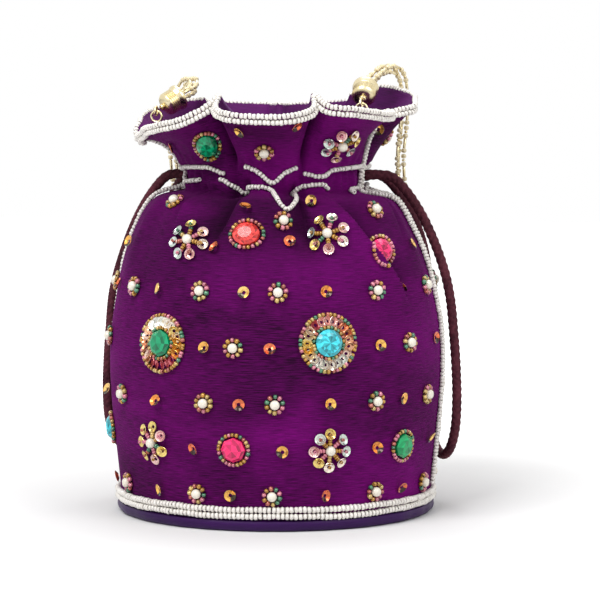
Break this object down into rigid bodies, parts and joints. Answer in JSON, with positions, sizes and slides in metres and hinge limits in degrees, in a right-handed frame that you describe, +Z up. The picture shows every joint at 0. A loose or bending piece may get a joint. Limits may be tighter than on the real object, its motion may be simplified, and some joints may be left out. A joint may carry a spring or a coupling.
{
  "type": "potli bag",
  "caption": "Gathered velvet drawstring pouch with a flared ruffle, beaded edges, embroidered stones and a swinging pearl strand handle.",
  "frame": {"origin": "centre of the round base's underside, which the bag stands on", "axes": "+Z up the bag, -Y out of its front, side seams at +X and -X"},
  "size_m": [0.2016, 0.1915, 0.2429],
  "materials": {
    "velvet": "ribbed plush velvet",
    "base_satin": "satin",
    "lining_satin": "satin",
    "board": "plain",
    "white_bead": "opaque glazed seed beads",
    "cord": "braided",
    "gold": "pale gold plated",
    "pearl": "pearl",
    "beadwork": "mixed glass beads and cup sequins",
    "stone": "faceted"
  },
  "bodies": {
    "bag": {"base_beads_lower": "white_bead", "base_beads_upper": "white_bead", "base_board": "board", "base_cover": "base_satin", "casing_beads_lower_back": "white_bead", "casing_beads_lower_front": "white_bead", "casing_beads_upper_back": "white_bead", "casing_beads_upper_front": "white_bead", "casing_cord": "cord", "drawstring_left": "cord", "drawstring_right": "cord", "gem_back_low": "beadwork", "gem_back_shoulder_left": "beadwork", "gem_back_shoulder_right": "beadwork", "gem_low_left": "beadwork", "gem_low_middle": "beadwork", "gem_low_right": "beadwork", "gem_ruffle": "beadwork", "gem_shoulder_left": "beadwork", "gem_shoulder_right": "beadwork", "handle_ring_left": "gold", "handle_ring_right": "gold", "lining": "lining_satin", "medallion_ring_back_left": "beadwork", "medallion_ring_back_right": "beadwork", "medallion_ring_front_left": "beadwork", "medallion_ring_front_right": "beadwork", "medallion_stone_back_left": "stone", "medallion_stone_back_right": "stone", "medallion_stone_front_left": "stone", "medallion_stone_front_right": "stone", "ruffle_beads": "white_bead", "seam_beads_left": "white_bead", "seam_beads_right": "white_bead", "star_back_low_left": "beadwork", "star_back_low_right": "beadwork", "star_back_shoulder": "beadwork", "star_low_left": "beadwork", "star_low_right": "beadwork", "star_ruffle": "beadwork", "star_shoulder_left": "beadwork", "star_shoulder_right": "beadwork", "velvet_body": "velvet"},
    "handle": {"handle_cap_left": "gold", "handle_cap_right": "gold", "handle_eye_left": "gold", "handle_eye_right": "gold", "handle_strand_1": "pearl", "handle_strand_2": "pearl", "handle_strand_3": "pearl"}
  },
  "joints": [
    {"name": "handle_swing", "type": "hinge", "parent": "bag", "child": "handle", "pos_m": [-0.06879, 0.01124, 0.21648], "axis": [0.9946, -0.0965, 0.0388], "range_deg": [0, 135]}
  ]
}
